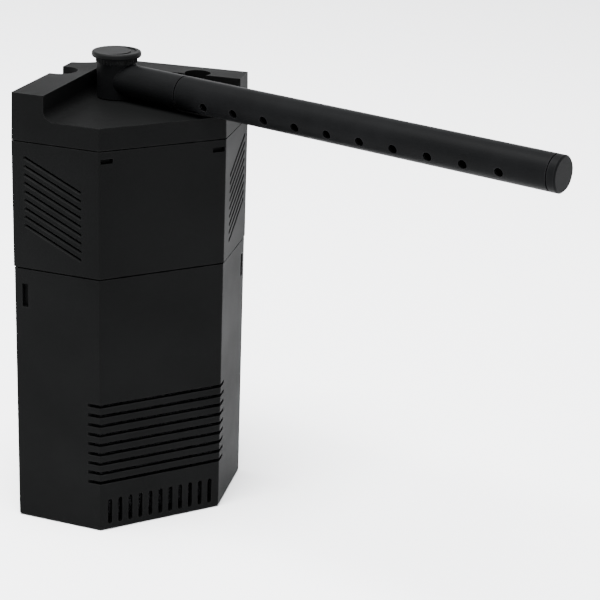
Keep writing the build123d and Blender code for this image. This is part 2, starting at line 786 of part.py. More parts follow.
with BuildPart() as coil_bobbin:
    with Locations(yoke_centre):
        Box(2 * bobbin_half, bobbin_y, bobbin_z)
        with Locations((bobbin_half - bobbin_wall / 2, 0, 0), (bobbin_wall / 2 - bobbin_half, 0, 0)):
            Box(bobbin_wall, bobbin_y + 2 * coil_depth, bobbin_z + 2 * coil_depth)
        Box(2 * bobbin_half, core_width, yoke_height, mode=Mode.SUBTRACT)
coil_bobbin.part.label = "coil_bobbin"
export_step(coil_bobbin.part, "parts/coil_bobbin.step")

with BuildPart() as coil_winding:
    with Locations(yoke_centre):
        Box(2 * (bobbin_half - bobbin_wall), bobbin_y + 2 * coil_build, bobbin_z + 2 * coil_build)
        fillet(coil_winding.edges().filter_by(Axis.X), coil_round)
        Box(2 * bobbin_half, bobbin_y, bobbin_z, mode=Mode.SUBTRACT)
coil_winding.part.label = "coil_winding"
export_step(coil_winding.part, "parts/coil_winding.step")

# ---- Potting resin: fills the can round the stator ----------------------------------------------
with BuildPart() as potting_resin:
    with BuildSketch(Plane.XY.offset(can_z)):
        with Locations((pump_x, pump_y)):
            Circle(can_inside)
            Circle(well_outside, mode=Mode.SUBTRACT)
    extrude(amount=can_height - can_wall - resin_gap)
    with BuildSketch(Plane.XY.offset(well_top + well_wall)):
        with Locations((pump_x, pump_y)):
            Circle(well_outside)
    extrude(amount=can_top - can_wall - resin_gap - well_top - well_wall)
    add(stator_core.part, mode=Mode.SUBTRACT)
    with Locations(yoke_centre):
        Box(2 * bobbin_half, bobbin_y + 2 * coil_depth, bobbin_z + 2 * coil_depth, mode=Mode.SUBTRACT)
potting_resin.part.label = "potting_resin"
export_step(potting_resin.part, "parts/potting_resin.step")

# ---- Cable gland: rubber bush where the mains lead enters the can -------------------------------
with BuildPart() as cable_gland:
    with BuildSketch(Plane.XY.offset(can_top - can_wall)):
        with Locations(gland_spot):
            Circle(gland_radius)
    extrude(amount=can_wall)
    with BuildSketch(Plane.XY.offset(can_top)):
        with Locations(gland_spot):
            Circle(gland_radius + gland_lip)
    extrude(amount=gland_lip_height)
    with BuildSketch(Plane.XY.offset(can_top + gland_lip_height)):
        with Locations(gland_spot):
            Circle(gland_radius)
    extrude(amount=gland_nose, taper=gland_taper)
    with BuildSketch(Plane.XY.offset(can_top - can_wall)):
        with Locations(gland_spot):
            Circle(cable_bore)
    extrude(amount=can_wall + gland_lip_height + gland_nose, mode=Mode.SUBTRACT)
cable_gland.part.label = "cable_gland"
export_step(cable_gland.part, "parts/cable_gland.step")

# ---- Rotor: ceramic shaft in two rubber bushes, magnet and impeller that turn on it -------------
shaft_bottom = bush_floor + shaft_seat
shaft_top = well_top - shaft_end_gap

with BuildPart() as bush_lower:
    with BuildSketch(Plane.XY.offset(bush_floor)):
        with Locations((pump_x, pump_y)):
            Circle(bush_radius)
    extrude(amount=bush_length)
    with BuildSketch(Plane.XY.offset(shaft_bottom)):
        with Locations((pump_x, pump_y)):
            Circle(shaft_radius)
    extrude(amount=bush_length, mode=Mode.SUBTRACT)
bush_lower.part.label = "bush_lower"
export_step(bush_lower.part, "parts/bush_lower.step")

with BuildPart() as bush_upper:
    with BuildSketch(Plane.XY.offset(well_top - upper_bush_length)):
        with Locations((pump_x, pump_y)):
            Circle(well_radius)
    extrude(amount=upper_bush_length)
    with BuildSketch(Plane.XY.offset(well_top - upper_bush_length)):
        with Locations((pump_x, pump_y)):
            Circle(shaft_radius)
    extrude(amount=shaft_top - well_top + upper_bush_length, mode=Mode.SUBTRACT)
bush_upper.part.label = "bush_upper"
export_step(bush_upper.part, "parts/bush_upper.step")

with BuildPart() as rotor_shaft:
    with BuildSketch(Plane.XY.offset(shaft_bottom)):
        with Locations((pump_x, pump_y)):
            Circle(shaft_radius)
    extrude(amount=shaft_top - shaft_bottom)
rotor_shaft.part.label = "rotor_shaft"
export_step(rotor_shaft.part, "parts/rotor_shaft.step")

impeller_z = bush_floor + bush_length + thrust_gap
disc_z = chamber_top - thrust_gap - disc_gap
magnet_top = well_top - upper_bush_length - thrust_gap
magnet_z = magnet_top - magnet_length
rotor_bore = shaft_radius + running_fit
blade_length = 0.75 * impeller_radius
blade_middle = 0.6 * impeller_radius

with BuildPart() as rotor_magnet:
    with BuildSketch(Plane.XY.offset(magnet_z)):
        with Locations((pump_x, pump_y)):
            Circle(magnet_radius)
            Circle(rotor_bore, mode=Mode.SUBTRACT)
    extrude(amount=magnet_length)
rotor_magnet.part.label = "rotor_magnet"
export_step(rotor_magnet.part, "parts/rotor_magnet.step")

with BuildPart() as impeller:
    with BuildSketch(Plane.XY.offset(impeller_z)):
        with Locations((pump_x, pump_y)):
            Circle(hub_radius)
            with PolarLocations(blade_middle, blade_count):
                Rectangle(blade_length, blade_thickness, rotation=blade_turn)
    extrude(amount=disc_z - impeller_z)
    with BuildSketch(Plane.XY.offset(disc_z)):
        with Locations((pump_x, pump_y)):
            Circle(impeller_radius)
    extrude(amount=disc_thickness)
    with BuildSketch(Plane.XY.offset(disc_z + disc_thickness)):
        with Locations((pump_x, pump_y)):
            Circle(carrier_radius)
    extrude(amount=magnet_z - disc_z - disc_thickness)
    with BuildSketch(Plane.XY.offset(impeller_z)):
        with Locations((pump_x, pump_y)):
            Circle(rotor_bore)
    extrude(amount=magnet_z - impeller_z, mode=Mode.SUBTRACT)
impeller.part.label = "impeller"
export_step(impeller.part, "parts/impeller.step")

# ---- Riser pipe: from the volute up to the outlet -----------------------------------------------
riser_top = deck_z - deck - riser_below_deck
spigot_bottom = riser_top - riser_overlap
riser_seal_z = (riser_foot_z + socket_top) / 2
riser_foot_radius = socket_bore - running_fit

with BuildPart() as riser_pipe:
    with BuildSketch(Plane.XY.offset(riser_foot_z)):
        Circle(riser_foot_radius)
    extrude(amount=socket_top - riser_foot_z)
    with BuildSketch(Plane.XY.offset(socket_top)):
        Circle(riser_radius)
    extrude(amount=riser_top - socket_top)
    with BuildSketch(Plane.XY.offset(riser_foot_z)):
        Circle(riser_bore)
    extrude(amount=riser_top, mode=Mode.SUBTRACT)
    with BuildSketch(Plane.XY.offset(spigot_bottom - riser_relief)):
        Circle(riser_socket)
    extrude(amount=riser_top, mode=Mode.SUBTRACT)
    with BuildSketch(Plane.XY.offset(riser_seal_z - seal_section)):
        Circle(socket_radius)
        Circle(riser_foot_radius - 2 * seal_section, mode=Mode.SUBTRACT)
    extrude(amount=2 * seal_section, mode=Mode.SUBTRACT)
riser_pipe.part.label = "riser_pipe"
export_step(riser_pipe.part, "parts/riser_pipe.step")

seal_ring(
    "riser_seal", (0, 0, riser_seal_z), riser_foot_radius - seal_section, seal_section
)

# ---- Lid: top shell with two raised wings and a sunken deck between them ------------------------
lid_height = wing_top - lid_joint
spigot_inside = wall + shell_fit + lid_spigot_wall
hook_y = front_y + spigot_inside - lid_spigot_wall / 2
cable_spot = notch_centre()

with BuildPart() as lid:
    with BuildSketch(Plane.XY.offset(lid_joint)):
        add(shell_plan)
    extrude(amount=lid_height, taper=lid_draft)
    with BuildSketch(Plane.XY.offset(deck_z)):
        add(recess_plan())
    extrude(amount=wing_rise, mode=Mode.SUBTRACT)
    deck_edges = lid.edges().filter_by_position(Axis.Z, deck_z - 0.1, deck_z + 0.1)
    foot_edges = [edge for edge in deck_edges if edge.center().Y > recess_apex - 0.6 * edge_x]
    fillet(foot_edges, recess_foot)
    with BuildSketch(Plane.XY.offset(deck_z)):
        add(notch_plan())
        add(pocket_plan())
    extrude(amount=wing_rise, mode=Mode.SUBTRACT)
    with BuildSketch(Plane.XY.offset(lid_joint)):
        add(head_cavity_plan)
    extrude(amount=deck_rise - deck, mode=Mode.SUBTRACT)
    with BuildSketch(Plane.XY.offset(deck_z - deck)):
        add(body_outline(wall + wing_inset))
        add(recess_plan(wall), mode=Mode.SUBTRACT)
        add(notch_plan(wall), mode=Mode.SUBTRACT)
        add(pocket_plan(wall), mode=Mode.SUBTRACT)
    extrude(amount=wing_rise, mode=Mode.SUBTRACT)
    with BuildSketch(Plane.XY.offset(lid_joint - lid_spigot_depth)):
        add(body_outline(wall + shell_fit))
        add(body_outline(spigot_inside), mode=Mode.SUBTRACT)
    extrude(amount=lid_spigot_depth)
    with BuildSketch(Plane.XY.offset(lid_joint)):
        add(body_outline(wall / 2))
        add(body_outline(spigot_inside), mode=Mode.SUBTRACT)
    extrude(amount=lid_band)
    with BuildSketch(Plane.XY.offset(lid_joint - hook_depth)):
        with Locations((snap_from_corner - corner_x, hook_y), (corner_x - snap_from_corner, hook_y)):
            Rectangle(snap_width - 2 * loose_fit, lid_spigot_wall)
    extrude(amount=hook_depth)
    with BuildSketch(Plane.XY.offset(deck_z - deck)):
        Circle(journal_radius + running_fit)
    extrude(amount=deck + recess_foot, mode=Mode.SUBTRACT)
    with BuildSketch(Plane.XY.offset(deck_z - deck)):
        with Locations(cable_spot):
            Circle(cable_hole)
    extrude(amount=deck, mode=Mode.SUBTRACT)
lid.part.label = "lid"
export_step(lid.part, "parts/lid.step")

# ---- Outlet elbow: swivelling neck and stub, one moulding ---------------------------------------
turn = radians(arm_azimuth)
arm_dir = Vector(sin(turn), -cos(turn), 0)
arm_plane = Plane(origin=(0, 0, arm_z), x_dir=(cos(turn), sin(turn), 0), z_dir=arm_dir)
neck_to_wing = recess_apex / sqrt(2) - neck_radius
foot_reach = max(recess_foot - neck_to_wing, 0)
neck_bottom = deck_z + recess_foot - sqrt(recess_foot**2 - foot_reach**2) + neck_lift
neck_top = arm_z + arm_radius + barrel_play
clip_groove = journal_radius - clip_groove_depth
clip_z = deck_z - deck - clip_groove_depth - barrel_lift
spigot_radius = riser_socket - running_fit
swivel_seal_z = (spigot_bottom + riser_top) / 2
barrel_floor = deck_z - deck + barrel_lift
chamber_bore = barrel_radius + running_fit
bar_bore = arm_radius - bar_wall
bar_spigot_radius = bar_bore - running_fit
bar_seal_s = stub_length + bar_seal_step

with BuildPart() as outlet_elbow:
    with BuildSketch(Plane.XY.offset(neck_bottom)):
        Circle(neck_radius)
    extrude(amount=neck_top - neck_bottom)
    with BuildSketch(Plane.XY.offset(clip_z)):
        Circle(journal_radius)
    extrude(amount=neck_bottom - clip_z)
    with BuildSketch(Plane.XY.offset(spigot_bottom)):
        Circle(spigot_radius)
    extrude(amount=clip_z - spigot_bottom)
    with BuildSketch(arm_plane):
        Circle(arm_radius)
    extrude(amount=stub_length)
    with BuildSketch(arm_plane.offset(stub_length)):
        Circle(bar_spigot_radius)
    extrude(amount=bar_spigot_length)
    with BuildSketch(Plane.XY.offset(clip_z)):
        Circle(2 * neck_radius)
        Circle(clip_groove, mode=Mode.SUBTRACT)
    extrude(amount=clip_thickness + clip_play, mode=Mode.SUBTRACT)
    with BuildSketch(Plane.XY.offset(swivel_seal_z - seal_section)):
        Circle(2 * neck_radius)
        Circle(spigot_radius - 2 * seal_section, mode=Mode.SUBTRACT)
    extrude(amount=2 * seal_section, mode=Mode.SUBTRACT)
    with BuildSketch(arm_plane.offset(bar_seal_s - small_seal_section)):
        Circle(2 * neck_radius)
        Circle(bar_spigot_radius - 2 * small_seal_section, mode=Mode.SUBTRACT)
    extrude(amount=2 * small_seal_section, mode=Mode.SUBTRACT)
    with BuildSketch(Plane.XY.offset(spigot_bottom)):
        Circle(water_bore)
    extrude(amount=barrel_floor - spigot_bottom, mode=Mode.SUBTRACT)
    with BuildSketch(Plane.XY.offset(barrel_floor)):
        Circle(chamber_bore)
    extrude(amount=neck_top - barrel_floor, mode=Mode.SUBTRACT)
    with BuildSketch(arm_plane):
        Circle(water_bore)
    extrude(amount=stub_length + bar_spigot_length, mode=Mode.SUBTRACT)
outlet_elbow.part.label = "outlet_elbow"
export_step(outlet_elbow.part, "parts/outlet_elbow.step")

# ---- Swivel clip: open ring under the deck that keeps the elbow in the lid ----------------------
with BuildPart() as swivel_clip:
    with BuildSketch(Plane.XY.offset(clip_z + clip_play / 2)):
        Circle(journal_radius + clip_reach)
        Circle(clip_groove + running_fit, mode=Mode.SUBTRACT)
        with Locations((0, journal_radius)):
            Rectangle(journal_radius, 2 * journal_radius, mode=Mode.SUBTRACT)
    extrude(amount=clip_thickness)
swivel_clip.part.label = "swivel_clip"
export_step(swivel_clip.part, "parts/swivel_clip.step")

seal_ring(
    "swivel_seal", (0, 0, swivel_seal_z), spigot_radius - seal_section, seal_section
)

# ---- Bar seal: O-ring on the stub, inside the bar -----------------------------------------------
with BuildPart() as bar_seal:
    with Locations(arm_plane.offset(bar_seal_s)):
        Torus(bar_spigot_radius - small_seal_section, small_seal_section - seal_fit)
bar_seal.part.label = "bar_seal"
export_step(bar_seal.part, "parts/bar_seal.step")

# ---- Valve barrel: ported tube in the neck, turned by the knob ----------------------------------
barrel_top = neck_top - 2 * barrel_play
knob_seal_z = barrel_top - barrel_roof / 2

with BuildPart() as valve_barrel:
    with BuildSketch(Plane.XY.offset(barrel_floor + barrel_play)):
        Circle(barrel_radius)
    extrude(amount=barrel_top - barrel_floor - barrel_play)
    with BuildSketch(Plane.XY.offset(barrel_floor)):
        Circle(water_bore)
    extrude(amount=barrel_top - barrel_roof - barrel_floor, mode=Mode.SUBTRACT)
    with BuildSketch(arm_plane):
        Circle(water_bore)
    extrude(amount=2 * barrel_radius, mode=Mode.SUBTRACT)
    with BuildSketch(Plane.XY.offset(barrel_top - barrel_roof)):
        Rectangle(post + 2 * running_fit, post + 2 * running_fit)
    extrude(amount=barrel_roof, mode=Mode.SUBTRACT)
    with BuildSketch(Plane.XY.offset(knob_seal_z - small_seal_section)):
        Circle(2 * barrel_radius)
        Circle(barrel_radius - 2 * small_seal_section, mode=Mode.SUBTRACT)
    extrude(amount=2 * small_seal_section, mode=Mode.SUBTRACT)
valve_barrel.part.label = "valve_barrel"
export_step(valve_barrel.part, "parts/valve_barrel.step")

seal_ring(
    "knob_seal", (0, 0, knob_seal_z), barrel_radius - small_seal_section, small_seal_section
)

# ---- Flow knob: flange with an engraved crescent over a ribbed skirt ----------------------------
skirt_z = neck_top + knob_gap
flange_z = skirt_z + skirt_height
knob_top = flange_z + knob_flange
knob_radius = neck_radius + knob_step
skirt_radius = neck_radius + skirt_step
mark_radius = 0.8 * knob_radius
mark_turn = radians(mark_azimuth - 90)

with BuildPart() as flow_knob:
    with BuildSketch(Plane.XY.offset(flange_z)):
        Circle(knob_radius)
    extrude(amount=knob_flange)
    fillet(flow_knob.edges(), knob_round)
    with BuildSketch(Plane.XY.offset(skirt_z)):
        Circle(skirt_radius - knob_rib_radius)
        with PolarLocations(skirt_radius - knob_rib_radius, knob_rib_count):
            Circle(knob_rib_radius)
    extrude(amount=skirt_height)
    with BuildSketch(Plane.XY.offset(barrel_top - barrel_roof)):
        Rectangle(post, post)
    extrude(amount=skirt_z - barrel_top + barrel_roof)
    with BuildSketch(Plane.XY.offset(knob_top - mark_depth)):
        Circle(mark_radius)
        with Locations((-mark_shift * cos(mark_turn), -mark_shift * sin(mark_turn))):
            Circle(mark_radius - knob_rib_radius, mode=Mode.SUBTRACT)
    extrude(amount=mark_depth, mode=Mode.SUBTRACT)
flow_knob.part.label = "flow_knob"
export_step(flow_knob.part, "parts/flow_knob.step")

# ---- Spray bar: tube with a row of round jets ---------------------------------------------------
bar_start = stub_length + bar_seam
bar_stop = bar_end - cap_thickness
drop = radians(jet_below_level)
jet_dir = Vector(-cos(turn) * cos(drop), -sin(turn) * cos(drop), -sin(drop))
jet_middle = jet_first + jet_pitch * (jet_count - 1) / 2
jet_plane = Plane(origin=Vector(0, 0, arm_z) + arm_dir * jet_middle, x_dir=arm_dir, z_dir=jet_dir)

with BuildPart() as spray_bar:
    with BuildSketch(arm_plane.offset(bar_start)):
        Circle(arm_radius)
        Circle(bar_bore, mode=Mode.SUBTRACT)
    extrude(amount=bar_stop - bar_start)
    with BuildSketch(jet_plane):
        with GridLocations(jet_pitch, 1, jet_count, 1):
            Circle(jet_radius)
    extrude(amount=2 * arm_radius, mode=Mode.SUBTRACT)
spray_bar.part.label = "spray_bar"
export_step(spray_bar.part, "parts/spray_bar.step")

# ---- Bar cap: push-in plug with a bevelled end --------------------------------------------------
with BuildPart() as bar_cap:
    with BuildSketch(arm_plane.offset(bar_stop + cap_groove)):
        Circle(arm_radius)
    extrude(amount=cap_thickness - cap_groove)
    chamfer(bar_cap.edges().group_by(lambda e: e.center().dot(arm_dir))[-1], cap_bevel)
    with BuildSketch(arm_plane.offset(bar_stop)):
        Circle(arm_radius - cap_bevel)
    extrude(amount=cap_groove)
    with BuildSketch(arm_plane.offset(bar_stop - cap_plug)):
        Circle(bar_bore)
        Circle(bar_bore - cap_plug_wall, mode=Mode.SUBTRACT)
    extrude(amount=cap_plug)
bar_cap.part.label = "bar_cap"
export_step(bar_cap.part, "parts/bar_cap.step")
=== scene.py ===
"""Looks of an internal corner filter, in metres, +Z up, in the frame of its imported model."""

from math import cos, radians, sin, tau

import bpy
import numpy as np
from mathutils import Matrix, Vector


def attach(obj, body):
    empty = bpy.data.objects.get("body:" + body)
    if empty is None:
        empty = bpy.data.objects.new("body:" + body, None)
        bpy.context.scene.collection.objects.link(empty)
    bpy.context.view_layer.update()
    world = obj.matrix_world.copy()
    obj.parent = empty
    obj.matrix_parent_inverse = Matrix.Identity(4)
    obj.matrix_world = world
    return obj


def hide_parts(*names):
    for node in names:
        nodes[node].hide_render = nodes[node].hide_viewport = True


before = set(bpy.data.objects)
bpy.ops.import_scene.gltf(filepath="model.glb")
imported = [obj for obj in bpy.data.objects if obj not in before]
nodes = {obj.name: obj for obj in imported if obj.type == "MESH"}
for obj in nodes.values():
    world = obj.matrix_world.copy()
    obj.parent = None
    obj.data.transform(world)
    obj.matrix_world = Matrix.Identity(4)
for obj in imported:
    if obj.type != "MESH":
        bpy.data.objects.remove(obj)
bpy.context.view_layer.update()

# ---- Camera: a long lens from the front left, a little above the lid ----------------------------
# The lens is long, so the upright edges stay almost parallel. It looks down on the lid, and is
# rolled a little about its own axis.
yaw = radians(29.6)
pitch = radians(19.9)
roll = radians(2.12)
ahead = Vector((sin(yaw) * cos(pitch), cos(yaw) * cos(pitch), -sin(pitch)))
level = Vector((cos(yaw), -sin(yaw), 0))
above = level.cross(ahead)
right = cos(roll) * level + sin(roll) * above
upward = cos(roll) * above - sin(roll) * level

lens = bpy.data.cameras.new("camera")
lens.lens = 106.3
lens.sensor_width = 36
lens.clip_start = 0.01
camera = bpy.data.objects.new("camera", lens)
turn = Matrix((right, upward, -ahead)).transposed().to_4x4()
stand = Matrix.Translation((-0.353, -0.819, 0.428))
camera.matrix_world = stand @ turn
bpy.context.scene.collection.objects.link(camera)
bpy.context.scene.camera = camera

# ---- Studio: a pale floor, a pale sky and one large soft lamp, high on the left -----------------
# The floor is a wide matt white sheet, whose far edge shows only from nearly level. The sky lights
# the sides, and the lamp gives the tops their tone and the floor its faint shadow.
bpy.ops.mesh.primitive_plane_add(size=14)
floor = bpy.context.object
floor.name = "floor"
paint = bpy.data.materials.new("floor_paint")
paint.use_nodes = True
shader = paint.node_tree.nodes["Principled BSDF"]
shader.inputs["Base Color"].default_value = (0.93, 0.935, 0.945, 1)
shader.inputs["Roughness"].default_value = 0.9
shader.inputs["Specular IOR Level"].default_value = 0.1
floor.data.materials.append(paint)


class Socket:
    """One output of a shader node. Arithmetic on sockets and numbers makes further nodes."""

    def __init__(self, tree, output):
        self.tree = tree
        self.output = output

    def then(self, kind, settings, inputs, output=0):
        """Adds a node of this kind, fed with values or sockets, and takes one of its outputs."""
        node = self.tree.nodes.new(kind)
        for name, value in settings.items():
            setattr(node, name, value)
        for key, value in inputs.items():
            if isinstance(value, Socket):
                self.tree.links.new(value.output, node.inputs[key])
            else:
                node.inputs[key].default_value = value
        return Socket(self.tree, node.outputs[output])

    def feed(self, node, key):
        """Links this socket to an input of a node."""
        self.tree.links.new(self.output, node.inputs[key])

    def pair(self, operation, first, second):
        """A math node on two values or sockets."""
        return self.then("ShaderNodeMath", {"operation": operation}, {0: first, 1: second})

    def __add__(self, other):
        return self.pair("ADD", self, other)

    def __radd__(self, other):
        return self.pair("ADD", other, self)

    def __sub__(self, other):
        return self.pair("SUBTRACT", self, other)

    def __rsub__(self, other):
        return self.pair("SUBTRACT", other, self)

    def __mul__(self, other):
        return self.pair("MULTIPLY", self, other)

    def __rmul__(self, other):
        return self.pair("MULTIPLY", other, self)


# The sky is dim overhead and brightest low down behind, where it skims the tops of the wings.
world = bpy.data.worlds.new("studio")
world.use_nodes = True
bpy.context.scene.world = world
sky = world.node_tree
toward = Socket(sky, sky.nodes.new("ShaderNodeTexCoord").outputs["Generated"])
rise = toward.then("ShaderNodeSeparateXYZ", {}, {0: toward}, "Z")
rear = (0.45, 0.89, 0.0)
behind = toward.then(
    "ShaderNodeVectorMath", {"operation": "DOT_PRODUCT"}, {0: toward, 1: rear}, "Value"
)
low = rise.then("ShaderNodeMapRange", {}, {"Value": rise, "From Min": 0.30, "From Max": 0.10})
back = behind.then("ShaderNodeMapRange", {}, {"Value": behind, "From Min": 0.1, "From Max": 0.8})
overhead = 1.7
rear_glow = 2.7
(overhead + low * back * rear_glow).feed(sky.nodes["Background"], "Strength")
sky.nodes["Background"].inputs["Color"].default_value = (0.98, 0.985, 1.0, 1)


def lamp(name, spot, aim, size, watts):
    """A square soft lamp at spot that faces aim."""
    light = bpy.data.lights.new(name, "AREA")
    light.shape = "SQUARE"
    light.size = size
    light.energy = watts
    lit = bpy.data.objects.new(name, light)
    lit.location = spot
    lit.rotation_euler = (Vector(aim) - Vector(spot)).to_track_quat("-Z", "Y").to_euler()
    bpy.context.scene.collection.objects.link(lit)


lamp("key", spot=(-0.45, -0.25, 2.4), aim=(0.2, 0.3, 0), size=1.4, watts=300)

# ---- Shells: canister, head casing and lid ------------------------------------------------------
# Black ABS, injection moulded. The mould is spark eroded, so every face has a fine matt grain.
# Handling has rubbed the corners a little lighter and smoother than the faces.


def begin(name):
    """A new material, its shader, and its Object coordinates as a Socket."""
    material = bpy.data.materials.new(name)
    material.use_nodes = True
    tree = material.node_tree
    shader = tree.nodes["Principled BSDF"]
    place = Socket(tree, tree.nodes.new("ShaderNodeTexCoord").outputs["Object"])
    return material, shader, place


def noise(place, scale, detail=2.0):
    """Noise from 0 to 1 with this many features to the metre."""
    return place.then(
        "ShaderNodeTexNoise", {}, {"Vector": place, "Scale": scale, "Detail": detail}, "Fac"
    )


def spread(value, low, high, start=0.0, stop=1.0):
    """Value from low..high mapped on to start..stop, and held there outside."""
    return value.then(
        "ShaderNodeMapRange",
        {},
        {"Value": value, "From Min": low, "From Max": high, "To Min": start, "To Max": stop},
    )


def blend(amount, first, second):
    """Colour between first and second, each a colour or a Socket."""
    return amount.then(
        "ShaderNodeMix", {"data_type": "RGBA"}, {0: amount, 6: first, 7: second}, 2
    )


def edges(place, radius):
    """1 on edges sharper than this radius, 0 on flat faces."""
    rounded = place.then("ShaderNodeBevel", {"samples": 4}, {"Radius": radius})
    sharp = place.then("ShaderNodeNewGeometry", {}, {}, "Normal")
    match = place.then(
        "ShaderNodeVectorMath", {"operation": "DOT_PRODUCT"}, {0: rounded, 1: sharp}, "Value"
    )
    nearly_flat = 0.985
    fully_worn = 0.86
    return spread(match, nearly_flat, fully_worn)


def bump(height, distance):
    """Bump of this depth in metres where height goes from 0 to 1."""
    return height.then(
        "ShaderNodeBump",
        {},
        {"Height": height, "Distance": distance, "Strength": 1.0},
        "Normal",
    )


def moulded(name, colour, worn, roughness, grain, depth, specular):
    """Moulded plastic with this many grains to the metre, so deep, and its face and worn tones."""
    material, shader, place = begin(name)
    drift = noise(place, 22.0, 3.0)
    cloud = noise(place, 150.0, 4.0)
    texture = noise(place, grain, 2.0)
    fine = noise(place, 2.3 * grain, 1.0)
    rubbed = edges(place, 0.0007) * spread(cloud, 0.35, 0.6)
    tone = spread(drift * 0.5 + texture * 0.5, 0.38, 0.62)
    dull = tuple(0.72 * part for part in colour)
    base = blend(tone, (*dull, 1), (*colour, 1))
    blend(rubbed, base, (*worn, 1)).feed(shader, "Base Color")
    gloss = spread(drift, 0.3, 0.7, roughness + 0.05, roughness - 0.05)
    (gloss + texture * 0.08 - 0.04 - rubbed * 0.1).feed(shader, "Roughness")
    bump(texture * 0.7 + fine * 0.3, depth).feed(shader, "Normal")
    shader.inputs["Specular IOR Level"].default_value = specular
    return material


def dress(material, *names):
    """Gives a material to CAD nodes by name."""
    for name in names:
        slots = nodes[name].data.materials
        slots.clear()
        slots.append(material)


shell = moulded(
    "shell",
    colour=(0.0019, 0.002, 0.002),
    worn=(0.006, 0.006, 0.006),
    roughness=0.6,
    grain=1500,
    depth=0.00003,
    specular=0.03,
)
dress(shell, "canister", "head_casing", "lid")

# ---- Outlet: swivelling elbow, spray bar and its end cap ----------------------------------------
# The same black ABS from smoother moulds, so the round pieces carry a long soft highlight.
# Sliding the bar on and off has drawn faint lengthwise scuffs on it.
outlet, shader, place = begin("outlet")
swing = radians(24.5)
stretch = 14.0
lengthwise = place.then(
    "ShaderNodeMapping",
    {"vector_type": "TEXTURE"},
    {"Vector": place, "Rotation": (0.0, 0.0, swing), "Scale": (1.0, stretch, 1.0)},
    "Vector",
)
scuff = noise(lengthwise, 1300.0, 3.0)
cloud = noise(place, 60.0, 3.0)
grain = noise(place, 2400.0, 2.0)
rubbed = edges(place, 0.0005) * spread(cloud, 0.3, 0.6)
mottle = spread(cloud * 0.5 + grain * 0.5, 0.38, 0.62)
satin = blend(mottle, (0.0021, 0.0022, 0.0023, 1), (0.0031, 0.0032, 0.0034, 1))
blend(rubbed, satin, (0.012, 0.012, 0.0125, 1)).feed(shader, "Base Color")
(spread(scuff, 0.35, 0.7, 0.5, 0.42) + cloud * 0.08 - 0.04).feed(shader, "Roughness")
bump(grain * 0.6 + scuff * 0.4, 0.000012).feed(shader, "Normal")
shader.inputs["Specular IOR Level"].default_value = 0.02
dress(outlet, "outlet_elbow", "spray_bar", "bar_cap")

# ---- Flow knob: flange with a crescent mark over a ribbed skirt ---------------------------------
# The same black plastic from a smoother mould, so its top takes a soft even sheen. It sits on the
# barrel of the valve and turns with it.
knob = moulded(
    "knob",
    colour=(0.004, 0.0042, 0.0042),
    worn=(0.012, 0.012, 0.012),
    roughness=0.55,
    grain=2200,
    depth=0.000012,
    specular=0.04,
)
dress(knob, "flow_knob")

# ---- Sponges: a coarse dark block behind the inlets and a fine blue one under the head ----------
# Two blocks of reticulated polyurethane foam, cut with a hot wire and pushed into the canister.
# Their faces are open cells, painted dark between the struts as shade, and their corners are soft.


def foam_block(name, node, cell, body):
    """Foam cut to a CAD solid, with soft corners and pitted faces.

    The solid's mesh is welded, remeshed in cubes of one cell and smoothed. Each vertex then moves
    in along its normal by a share of the cell: a base, plus pits, plus sag. Pits is a product of
    three sines of the place, one along each axis, with pitches that never fall in step. Sag is a
    product of two slow ones. Where both are at their least, the vertex stands a little proud.
    """
    mesh = nodes[node].data.copy()
    mesh.materials.clear()
    block = bpy.data.objects.new(name, mesh)
    bpy.context.scene.collection.objects.link(block)
    bpy.context.view_layer.objects.active = block
    weld = block.modifiers.new("weld", "WELD")
    weld.merge_threshold = 0.00001
    grid = block.modifiers.new("grid", "REMESH")
    grid.mode = "VOXEL"
    grid.voxel_size = cell
    soft = block.modifiers.new("soft", "SMOOTH")
    soft.iterations = 4
    for step in ("weld", "grid", "soft"):
        bpy.ops.object.modifier_apply(modifier=step)
    mesh = block.data
    count = len(mesh.vertices)
    spots = np.zeros(count * 3)
    mesh.vertices.foreach_get("co", spots)
    spots = spots.reshape(count, 3)
    normals = np.zeros(count * 3, np.float32)
    mesh.vertex_normals.foreach_get("vector", normals)
    normals = normals.reshape(count, 3)
    x, y, z = (2 * np.pi * spots / cell).T
    pits = np.sin(0.41 * x) * np.sin(0.37 * y + 1) * np.sin(0.43 * z + 2)
    sag = np.sin(0.045 * x) * np.sin(0.05 * z + 1)
    base = 0.12
    inward = cell * (base + 0.1 * pits + 0.1 * sag)
    spots -= inward[:, None] * normals
    mesh.vertices.foreach_set("co", spots.reshape(-1))
    mesh.polygons.foreach_set("use_smooth", np.ones(len(mesh.polygons), bool))
    mesh.update()
    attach(block, body)
    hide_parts(node)
    return block


def foam(name, strut, painted_cell_shade, pores):
    """Open-cell foam: pale struts round cells painted dark as their shade, with this many cells to
    the metre.
    """
    material, shader, place = begin(name)
    warp = place.then("ShaderNodeTexNoise", {}, {"Vector": place, "Scale": pores * 0.6}, "Color")
    reach = 0.4 / pores
    shifted = place.then(
        "ShaderNodeVectorMath",
        {"operation": "MULTIPLY_ADD"},
        {0: warp, 1: (reach, reach, reach), 2: place},
        "Vector",
    )
    cells = place.then(
        "ShaderNodeTexVoronoi",
        {"feature": "DISTANCE_TO_EDGE"},
        {"Vector": shifted, "Scale": pores},
        "Distance",
    )
    web = spread(cells, 0.05, 0.22, 1.0, 0.0)
    tone = noise(place, 40.0, 3.0)
    shaded = tuple(0.8 * part for part in strut)
    lit = blend(spread(tone, 0.3, 0.7), (*strut, 1), (*shaded, 1))
    # Away from the struts the cells take the dark colour: painted shade for the hollows of the
    # open cells.
    blend(web, (*painted_cell_shade, 1), lit).feed(shader, "Base Color")
    spread(web, 0.0, 1.0, 1.0, 0.8).feed(shader, "Roughness")
    bump(web, 0.63 / pores).feed(shader, "Normal")
    shader.inputs["Specular IOR Level"].default_value = 0.25
    return material


